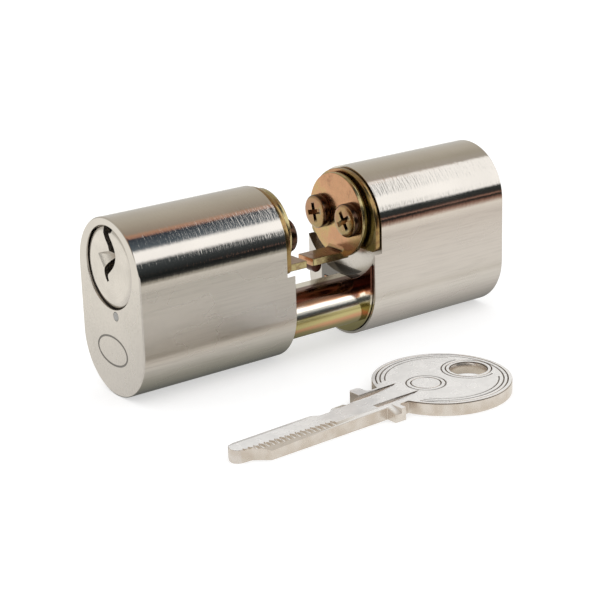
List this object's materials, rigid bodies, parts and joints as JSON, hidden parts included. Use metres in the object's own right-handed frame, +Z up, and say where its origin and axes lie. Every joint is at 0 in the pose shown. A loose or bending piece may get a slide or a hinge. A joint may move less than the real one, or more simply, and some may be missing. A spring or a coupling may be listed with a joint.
{
  "type": "double lock cylinder",
  "caption": "Oval-profile double lock cylinder for a deadbolt, with two turning plugs and cams, pin stacks, a yellow-chromated bridge and a loose flat key.",
  "frame": {"origin": "on the axis of the bridge's fixing-screw hole, midway between the two outer faces and on the upright mid-plane", "axes": "+X along both plugs, from the front (near) face to the rear face; +Z up, from the pins to the plugs; +Y towards the mouth of the fixing-screw hole, away from the loose key"},
  "size_m": [0.0805, 0.0551, 0.031],
  "materials": {
    "housing": "satin nickel plate on brass",
    "plug": "satin nickel plate on brass",
    "anti_drill_pin": "ground hardened steel",
    "end_plate": "yellow chromate on zinc-plated steel",
    "cam": "yellow chromate on zinc-plated steel, pink and gold",
    "cam_screw": "yellow chromate on zinc-plated steel",
    "dowel": "ground steel",
    "key_pin": "plain turned brass",
    "driver_pin": "plain turned brass",
    "spring": "drawn spring wire",
    "chamber_plug": "pressed brass",
    "bridge": "yellow chromate on zinc-plated steel",
    "key": "bright nickel silver"
  },
  "bodies": {
    "root": {"front_body": "housing", "front_anti_drill_pin": "anti_drill_pin", "front_end_plate": "end_plate", "front_bridge_dowel": "dowel", "front_chamber_plug_1": "chamber_plug", "front_spring_1": "spring", "front_chamber_plug_2": "chamber_plug", "front_spring_2": "spring", "front_chamber_plug_3": "chamber_plug", "front_spring_3": "spring", "front_chamber_plug_4": "chamber_plug", "front_spring_4": "spring", "front_chamber_plug_5": "chamber_plug", "front_spring_5": "spring", "rear_body": "housing", "rear_anti_drill_pin": "anti_drill_pin", "rear_end_plate": "end_plate", "rear_bridge_dowel": "dowel", "rear_chamber_plug_1": "chamber_plug", "rear_spring_1": "spring", "rear_chamber_plug_2": "chamber_plug", "rear_spring_2": "spring", "rear_chamber_plug_3": "chamber_plug", "rear_spring_3": "spring", "rear_chamber_plug_4": "chamber_plug", "rear_spring_4": "spring", "rear_chamber_plug_5": "chamber_plug", "rear_spring_5": "spring", "bridge": "bridge"},
    "front_plug_and_cam": {"front_plug": "plug", "front_cam": "cam", "front_cam_screw_1": "cam_screw", "front_cam_screw_2": "cam_screw"},
    "front_driver_1": {"front_driver_pin_1": "driver_pin"},
    "front_key_pin_body_1": {"front_key_pin_1": "key_pin"},
    "front_driver_2": {"front_driver_pin_2": "driver_pin"},
    "front_key_pin_body_2": {"front_key_pin_2": "key_pin"},
    "front_driver_3": {"front_driver_pin_3": "driver_pin"},
    "front_key_pin_body_3": {"front_key_pin_3": "key_pin"},
    "front_driver_4": {"front_driver_pin_4": "driver_pin"},
    "front_key_pin_body_4": {"front_key_pin_4": "key_pin"},
    "front_driver_5": {"front_driver_pin_5": "driver_pin"},
    "front_key_pin_body_5": {"front_key_pin_5": "key_pin"},
    "rear_plug_and_cam": {"rear_plug": "plug", "rear_cam": "cam", "rear_cam_screw_1": "cam_screw", "rear_cam_screw_2": "cam_screw"},
    "rear_driver_1": {"rear_driver_pin_1": "driver_pin"},
    "rear_key_pin_body_1": {"rear_key_pin_1": "key_pin"},
    "rear_driver_2": {"rear_driver_pin_2": "driver_pin"},
    "rear_key_pin_body_2": {"rear_key_pin_2": "key_pin"},
    "rear_driver_3": {"rear_driver_pin_3": "driver_pin"},
    "rear_key_pin_body_3": {"rear_key_pin_3": "key_pin"},
    "rear_driver_4": {"rear_driver_pin_4": "driver_pin"},
    "rear_key_pin_body_4": {"rear_key_pin_4": "key_pin"},
    "rear_driver_5": {"rear_driver_pin_5": "driver_pin"},
    "rear_key_pin_body_5": {"rear_key_pin_5": "key_pin"},
    "key": {"key": "key"}
  },
  "joints": [
    {"name": "front_plug_turn", "type": "hinge", "parent": "root", "child": "front_plug_and_cam", "pos_m": [0, 0, 0.0142], "axis": [1, 0, 0], "continuous": true},
    {"name": "front_driver_1_slide", "type": "slide", "parent": "root", "child": "front_driver_1", "axis": [0, 0, 1], "range_m": [-0.002, 0], "stiffness_N_per_m": 150, "springref_m": 0.004, "deforming": ["front_spring_1"]},
    {"name": "front_key_pin_1_slide", "type": "slide", "parent": "front_plug_and_cam", "child": "front_key_pin_body_1", "axis": [0, 0, 1], "range_m": [0, 0.003]},
    {"name": "front_driver_2_slide", "type": "slide", "parent": "root", "child": "front_driver_2", "axis": [0, 0, 1], "range_m": [-0.002, 0], "stiffness_N_per_m": 150, "springref_m": 0.004, "deforming": ["front_spring_2"]},
    {"name": "front_key_pin_2_slide", "type": "slide", "parent": "front_plug_and_cam", "child": "front_key_pin_body_2", "axis": [0, 0, 1], "range_m": [0, 0.0017]},
    {"name": "front_driver_3_slide", "type": "slide", "parent": "root", "child": "front_driver_3", "axis": [0, 0, 1], "range_m": [-0.002, 0], "stiffness_N_per_m": 150, "springref_m": 0.004, "deforming": ["front_spring_3"]},
    {"name": "front_key_pin_3_slide", "type": "slide", "parent": "front_plug_and_cam", "child": "front_key_pin_body_3", "axis": [0, 0, 1], "range_m": [0, 0.00295]},
    {"name": "front_driver_4_slide", "type": "slide", "parent": "root", "child": "front_driver_4", "axis": [0, 0, 1], "range_m": [-0.002, 0], "stiffness_N_per_m": 150, "springref_m": 0.004, "deforming": ["front_spring_4"]},
    {"name": "front_key_pin_4_slide", "type": "slide", "parent": "front_plug_and_cam", "child": "front_key_pin_body_4", "axis": [0, 0, 1], "range_m": [0, 0.00285]},
    {"name": "front_driver_5_slide", "type": "slide", "parent": "root", "child": "front_driver_5", "axis": [0, 0, 1], "range_m": [-0.002, 0], "stiffness_N_per_m": 150, "springref_m": 0.004, "deforming": ["front_spring_5"]},
    {"name": "front_key_pin_5_slide", "type": "slide", "parent": "front_plug_and_cam", "child": "front_key_pin_body_5", "axis": [0, 0, 1], "range_m": [0, 0.0028]},
    {"name": "rear_plug_turn", "type": "hinge", "parent": "root", "child": "rear_plug_and_cam", "pos_m": [0, 0, 0.0142], "axis": [-1, 0, 0], "continuous": true},
    {"name": "rear_driver_1_slide", "type": "slide", "parent": "root", "child": "rear_driver_1", "axis": [0, 0, 1], "range_m": [-0.002, 0], "stiffness_N_per_m": 150, "springref_m": 0.004, "deforming": ["rear_spring_1"]},
    {"name": "rear_key_pin_1_slide", "type": "slide", "parent": "rear_plug_and_cam", "child": "rear_key_pin_body_1", "axis": [0, 0, 1], "range_m": [0, 0.003]},
    {"name": "rear_driver_2_slide", "type": "slide", "parent": "root", "child": "rear_driver_2", "axis": [0, 0, 1], "range_m": [-0.002, 0], "stiffness_N_per_m": 150, "springref_m": 0.004, "deforming": ["rear_spring_2"]},
    {"name": "rear_key_pin_2_slide", "type": "slide", "parent": "rear_plug_and_cam", "child": "rear_key_pin_body_2", "axis": [0, 0, 1], "range_m": [0, 0.0017]},
    {"name": "rear_driver_3_slide", "type": "slide", "parent": "root", "child": "rear_driver_3", "axis": [0, 0, 1], "range_m": [-0.002, 0], "stiffness_N_per_m": 150, "springref_m": 0.004, "deforming": ["rear_spring_3"]},
    {"name": "rear_key_pin_3_slide", "type": "slide", "parent": "rear_plug_and_cam", "child": "rear_key_pin_body_3", "axis": [0, 0, 1], "range_m": [0, 0.00295]},
    {"name": "rear_driver_4_slide", "type": "slide", "parent": "root", "child": "rear_driver_4", "axis": [0, 0, 1], "range_m": [-0.002, 0], "stiffness_N_per_m": 150, "springref_m": 0.004, "deforming": ["rear_spring_4"]},
    {"name": "rear_key_pin_4_slide", "type": "slide", "parent": "rear_plug_and_cam", "child": "rear_key_pin_body_4", "axis": [0, 0, 1], "range_m": [0, 0.00285]},
    {"name": "rear_driver_5_slide", "type": "slide", "parent": "root", "child": "rear_driver_5", "axis": [0, 0, 1], "range_m": [-0.002, 0], "stiffness_N_per_m": 150, "springref_m": 0.004, "deforming": ["rear_spring_5"]},
    {"name": "rear_key_pin_5_slide", "type": "slide", "parent": "rear_plug_and_cam", "child": "rear_key_pin_body_5", "axis": [0, 0, 1], "range_m": [0, 0.0028]},
    {"name": "key_lift", "type": "slide", "parent": "root", "child": "key", "axis": [0, 0, 1], "range_m": [0, 0.04]}
  ]
}
